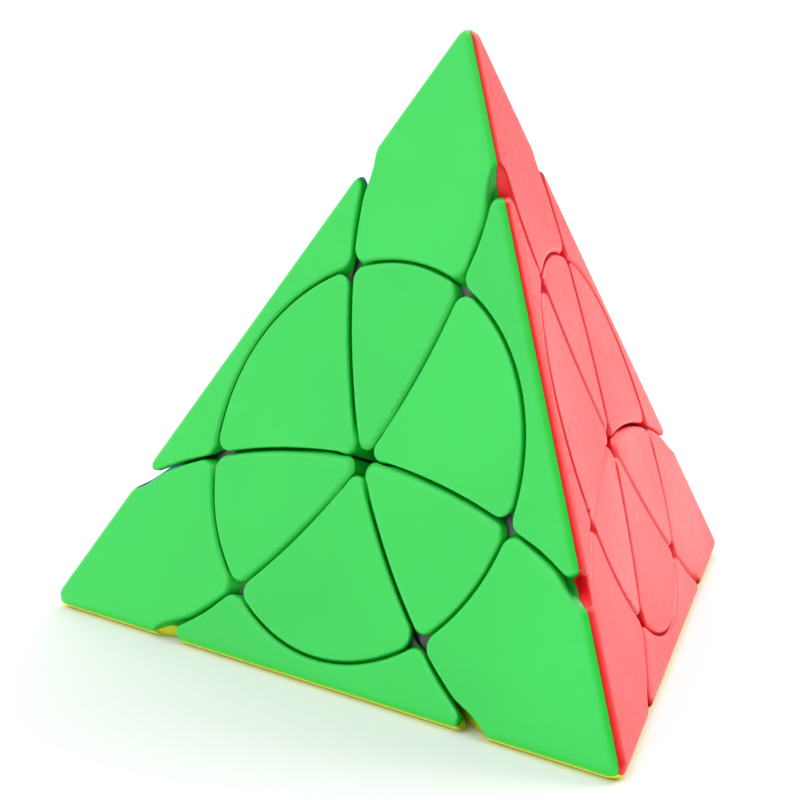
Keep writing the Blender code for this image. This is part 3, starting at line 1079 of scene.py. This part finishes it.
def ramp(tree, value, low, high, out_low, out_high):
    node = tree.nodes.new("ShaderNodeMapRange")
    node.inputs["From Min"].default_value = low
    node.inputs["From Max"].default_value = high
    node.inputs["To Min"].default_value = out_low
    node.inputs["To Max"].default_value = out_high
    tree.links.new(value, node.inputs["Value"])
    return node.outputs["Result"]


def maths(tree, kind, a, b):
    node = tree.nodes.new("ShaderNodeMath")
    node.operation = kind
    for socket, value in zip(node.inputs, (a, b)):
        if isinstance(value, (int, float)):
            socket.default_value = value
        else:
            tree.links.new(value, socket)
    return node.outputs[0]


def mix(tree, factor, a, b):
    node = tree.nodes.new("ShaderNodeMix")
    node.data_type = "RGBA"
    for socket, value in ((node.inputs[0], factor), (node.inputs[6], a), (node.inputs[7], b)):
        if isinstance(value, tuple):
            socket.default_value = value
        elif isinstance(value, (int, float)):
            socket.default_value = value
        else:
            tree.links.new(value, socket)
    return node.outputs[2]


def attribute(tree, name):
    node = tree.nodes.new("ShaderNodeAttribute")
    node.attribute_name = name
    return node.outputs["Fac"]


def plastic(name, colour, wear_and_highlight, wall, ridge, roughness=0.36, grain=1.0):
    """Satin moulded plastic: faint mottling, fine texture, rims paled partly by wear and
    partly by a painted highlight, painted shade down the groove walls and painted light on
    the edge roundings.
    """
    mat, tree, bsdf = new_material(name)
    coords = tree.nodes.new("ShaderNodeTexCoord").outputs["Object"]
    shift = tree.nodes.new("ShaderNodeVectorMath")
    shift.operation = "ADD"
    tone = attribute(tree, "tone")
    combine = tree.nodes.new("ShaderNodeCombineXYZ")
    for i in range(3):
        tree.links.new(tone, combine.inputs[i])
    tree.links.new(coords, shift.inputs[0])
    tree.links.new(combine.outputs[0], shift.inputs[1])
    where = shift.outputs[0]
    broad = noise(tree, where, 45.0, 2.0)
    fine = noise(tree, where, 900.0, 4.0, 0.6)
    grit = noise(tree, where, 5200.0, 2.0, 0.5)
    darker = tuple(c * 0.93 for c in colour[:3]) + (1.0,)
    base = mix(tree, ramp(tree, broad, 0.35, 0.65, 0.0, 1.0), darker, colour)
    speck = ramp(tree, fine, 0.66, 0.80, 0.0, 0.10)
    base = mix(tree, speck, base, wear_and_highlight)
    # The roundings of the straight edges get the ridge colour: painted light, a deeper, more
    # saturated colour standing in for the weaker sheen there, and for yellow a brighter
    # colour standing in for light from the floor.
    bevel = attribute(tree, "bevel")
    base = mix(tree, ramp(tree, bevel, 0.34, 0.62, 0.0, 1.0), base, ridge)
    # Rims: paler near the top of each fillet, partly rubbed wear where pieces slide past each
    # other and partly a painted highlight along the fillet's edge.
    rim = attribute(tree, "rim")
    rub_and_highlight = maths(tree, "MULTIPLY", rim, ramp(tree, fine, 0.42, 0.62, 0.03, 0.16))
    base = mix(tree, rub_and_highlight, base, wear_and_highlight)
    # The walls of the grooves take the wall colour towards the foot of the fillet: painted
    # shade, standing in for the shade inside the grooves.
    groove_shade = ramp(tree, attribute(tree, "deep"), 0.06, 0.50, 0.0, 1.0)
    base = mix(tree, maths(tree, "MULTIPLY", groove_shade, 0.92), base, wall)
    # Below the ledge the shells show the grey of the inner moulding.
    inner = ramp(tree, attribute(tree, "inner"), 0.08, 0.30, 0.0, 1.0)
    grey = mix(tree, fine, (0.30, 0.30, 0.30, 1.0), (0.38, 0.38, 0.38, 1.0))
    base = mix(tree, inner, base, grey)
    tree.links.new(base, bsdf.inputs["Base Color"])
    rough = ramp(tree, broad, 0.3, 0.7, roughness - 0.04, roughness + 0.05)
    rough = maths(tree, "ADD", rough, ramp(tree, fine, 0.3, 0.7, -0.03, 0.03))
    rough = maths(tree, "SUBTRACT", rough, maths(tree, "MULTIPLY", rim, 0.05))
    tree.links.new(rough, bsdf.inputs["Roughness"])
    height = maths(
        tree,
        "ADD",
        maths(tree, "MULTIPLY", fine, 0.6),
        maths(tree, "MULTIPLY", grit, 0.4 * grain),
    )
    bump = tree.nodes.new("ShaderNodeBump")
    bump.inputs["Strength"].default_value = 0.10
    bump.inputs["Distance"].default_value = 0.00008
    tree.links.new(height, bump.inputs["Height"])
    tree.links.new(bump.outputs["Normal"], bsdf.inputs["Normal"])
    bsdf.inputs["IOR"].default_value = 1.50
    return mat


def steel(name):
    mat, tree, bsdf = new_material(name)
    where = tree.nodes.new("ShaderNodeTexCoord").outputs["Object"]
    broad = noise(tree, where, 300.0, 3.0)
    fine = noise(tree, where, 4000.0, 3.0)
    base = mix(
        tree,
        ramp(tree, broad, 0.3, 0.7, 0.0, 1.0),
        (0.50, 0.50, 0.52, 1.0),
        (0.66, 0.66, 0.68, 1.0),
    )
    tree.links.new(base, bsdf.inputs["Base Color"])
    rough = maths(
        tree,
        "ADD",
        ramp(tree, broad, 0.3, 0.7, 0.22, 0.34),
        ramp(tree, fine, 0.3, 0.7, -0.04, 0.04),
    )
    tree.links.new(rough, bsdf.inputs["Roughness"])
    bump = tree.nodes.new("ShaderNodeBump")
    bump.inputs["Strength"].default_value = 0.15
    bump.inputs["Distance"].default_value = 0.00003
    tree.links.new(fine, bump.inputs["Height"])
    tree.links.new(bump.outputs["Normal"], bsdf.inputs["Normal"])
    bsdf.inputs["Metallic"].default_value = 1.0
    return mat


# Each entry: base colour; a pale colour for worn specks and for the rims (wear and painted
# highlight); the wall colour for the painted groove shade; the ridge colour for the painted
# light on the edge roundings.
PLASTICS = {
    "green": plastic(
        "green_plastic",
        (0.040, 0.745, 0.108, 1.0),
        (0.10, 0.90, 0.20, 1.0),
        (0.008, 0.56, 0.042, 1.0),
        (0.025, 0.71, 0.050, 1.0),
    ),
    "red": plastic(
        "red_plastic",
        (0.94, 0.030, 0.032, 1.0),
        (0.98, 0.10, 0.10, 1.0),
        (1.0, 0.012, 0.020, 1.0),
        (0.98, 0.010, 0.012, 1.0),
    ),
    "blue": plastic(
        "blue_plastic",
        (0.022, 0.19, 0.80, 1.0),
        (0.10, 0.32, 0.90, 1.0),
        (0.008, 0.09, 0.48, 1.0),
        (0.012, 0.16, 0.84, 1.0),
    ),
    "yellow": plastic(
        "yellow_plastic",
        (0.78, 0.84, 0.035, 1.0),
        (0.90, 0.92, 0.16, 1.0),
        (0.78, 0.84, 0.020, 1.0),
        (0.93, 0.97, 0.030, 1.0),
    ),
}
CORE = plastic(
    "core_plastic",
    (0.030, 0.031, 0.033, 1.0),
    (0.07, 0.07, 0.075, 1.0),
    (0.03, 0.03, 0.03, 1.0),
    (0.03, 0.03, 0.03, 1.0),
    0.48,
)
STEEL = steel("bright_steel")

seed = 0.0
for colour, (ring, opposite) in FACES.items():
    for corner_name in ring:
        turned = turn_to(colour, corner_name)
        others = [c for c in ring if c != corner_name]
        edge_name = EDGE_NAMES[frozenset(others)]
        for build, node in (
            ("corner", f"corner_{corner_name}_{colour}"),
            ("edge", f"edge_{edge_name}_{colour}"),
            ("petal_narrow", f"petal_{colour}_corner_{corner_name}"),
            ("petal_wide", f"petal_{colour}_edge_{edge_name}"),
        ):
            seed += 0.37
            place(BUILDS[build], node, turned, PLASTICS[colour], seed)


def dress(node, material):
    obj = frame["nodes"][node]
    obj.data.materials.clear()
    obj.data.materials.append(material)


dress("core_ball", CORE)
for name in CORNERS:
    dress("screw_" + name, STEEL)
    dress("spring_" + name, STEEL)

# -------------------------------------------------------------------- studio
FLOOR_Z = CAD_BOX[0].z - 0.00002
WORLD_OPEN, WORLD_SHADE = 0.82, 0.05


def floor():
    """A wide pale sheet that the object stands on."""
    mesh = bpy.data.meshes.new("studio_floor")
    size, steps = 6.0, 24
    points, faces = [], []
    for j in range(steps + 1):
        for i in range(steps + 1):
            points.append(
                ((i / steps - 0.5) * size, (j / steps - 0.5) * size, FLOOR_Z)
            )
    for j in range(steps):
        for i in range(steps):
            a = j * (steps + 1) + i
            faces.append((a, a + 1, a + steps + 2, a + steps + 1))
    mesh.from_pydata(points, [], faces)
    obj = bpy.data.objects.new("studio_floor", mesh)
    bpy.context.scene.collection.objects.link(obj)
    mat, tree, bsdf = new_material("studio_paper")
    where = tree.nodes.new("ShaderNodeTexCoord").outputs["Object"]
    tint = mix(
        tree,
        noise(tree, where, 30.0, 3.0),
        (0.955, 0.955, 0.955, 1.0),
        (0.975, 0.975, 0.975, 1.0),
    )
    tree.links.new(tint, bsdf.inputs["Base Color"])
    bsdf.inputs["Roughness"].default_value = 0.9
    bsdf.inputs["Specular IOR Level"].default_value = 0.2
    mesh.materials.append(mat)
    return obj


floor()

world = bpy.data.worlds.new("studio_world")
bpy.context.scene.world = world
world.use_nodes = True
sky = world.node_tree
background = sky.nodes["Background"]
background.inputs["Color"].default_value = (1.0, 1.0, 1.0, 1.0)
shade_side = sky.nodes.new("ShaderNodeVectorMath")
shade_side.operation = "DOT_PRODUCT"
shade_side.inputs[1].default_value = (0.977, 0.034, 0.208)
sky.links.new(
    sky.nodes.new("ShaderNodeTexCoord").outputs["Generated"], shade_side.inputs[0]
)
sky.links.new(
    ramp(sky, shade_side.outputs["Value"], 0.20, 0.70, WORLD_OPEN, WORLD_SHADE),
    background.inputs["Strength"],
)


def soft_light(name, azimuth, elevation, distance, size, watts):
    """A large soft panel aimed at the middle of the object."""
    data = bpy.data.lights.new(name, "AREA")
    data.shape = "DISK"
    data.size = size
    data.energy = watts
    obj = bpy.data.objects.new(name, data)
    bpy.context.scene.collection.objects.link(obj)
    a, e = math.radians(azimuth), math.radians(elevation)
    back = Vector(
        (math.sin(a) * math.cos(e), -math.cos(a) * math.cos(e), math.sin(e))
    )
    obj.location = back * distance
    obj.rotation_mode = "QUATERNION"
    obj.rotation_quaternion = (-back).to_track_quat("-Z", "Y")
    return obj


soft_light("key_panel", -35, 42, 1.2, 1.0, 1.1)
soft_light("front_panel", -6, 8, 1.2, 0.9, 0.5)
soft_light("fill_panel", 46, 13, 1.2, 0.5, 1.6)
soft_light("side_panel", 165, 36, 1.2, 1.0, 7.0)
soft_light("back_panel", 205, 45, 2.8, 2.4, 20.0)
soft_light("top_panel", 0, 85, 1.4, 1.2, 5.6)

camera_data = bpy.data.cameras.new("camera")
camera = bpy.data.objects.new("camera", camera_data)
bpy.context.scene.collection.objects.link(camera)
camera_data.sensor_width = 36.0
camera_data.lens = 120.215
camera_data.clip_start, camera_data.clip_end = 0.01, 20.0
camera_data.dof.use_dof = False
camera.location = (0.214161, -0.245771, 0.086223)
camera.rotation_mode = "XYZ"
camera.rotation_euler = tuple(math.radians(a) for a in (76.9759, -0.4604, 42.5755))
bpy.context.scene.camera = camera
bpy.context.scene.view_settings.view_transform = "Standard"
